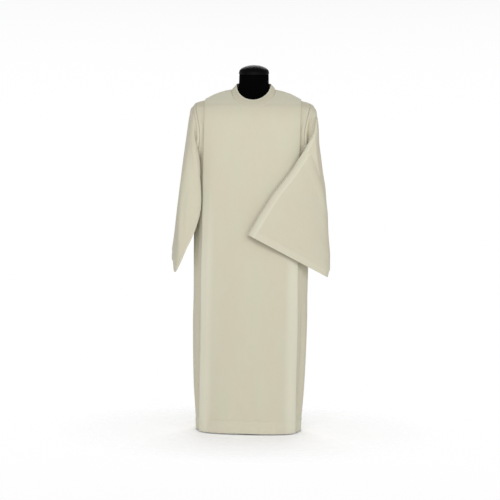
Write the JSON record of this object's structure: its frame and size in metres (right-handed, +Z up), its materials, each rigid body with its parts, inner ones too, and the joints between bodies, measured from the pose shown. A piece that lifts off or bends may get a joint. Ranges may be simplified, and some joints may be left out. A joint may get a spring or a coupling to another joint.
{
  "type": "alb on a dress form",
  "caption": "Long ivory alb with stand collar, flat front and back panels and wide sleeves, one folded across, on a black dress form and stand.",
  "frame": {"origin": "middle of the underside of the stand's round base, on the floor", "axes": "+Z up; the front of the alb faces -Y; the wearer's left, with the folded sleeve, is +X"},
  "size_m": [0.6591, 0.3407, 1.5127],
  "materials": {
    "alb_cloth": "ivory, fine plain weave, matt with a faint sheen",
    "form_jersey": "black jersey cover, matt",
    "stand_steel": "black powder coat, satin"
  },
  "bodies": {
    "root": {"front_panel": "alb_cloth", "back_panel": "alb_cloth", "side_front_right": "alb_cloth", "side_front_left": "alb_cloth", "side_back_right": "alb_cloth", "side_back_left": "alb_cloth", "sleeve_right": "alb_cloth", "sleeve_left": "alb_cloth", "collar": "alb_cloth", "form_torso": "form_jersey", "form_neck_cap": "form_jersey", "stand_base": "stand_steel", "stand_pole": "stand_steel"}
  },
  "joints": []
}
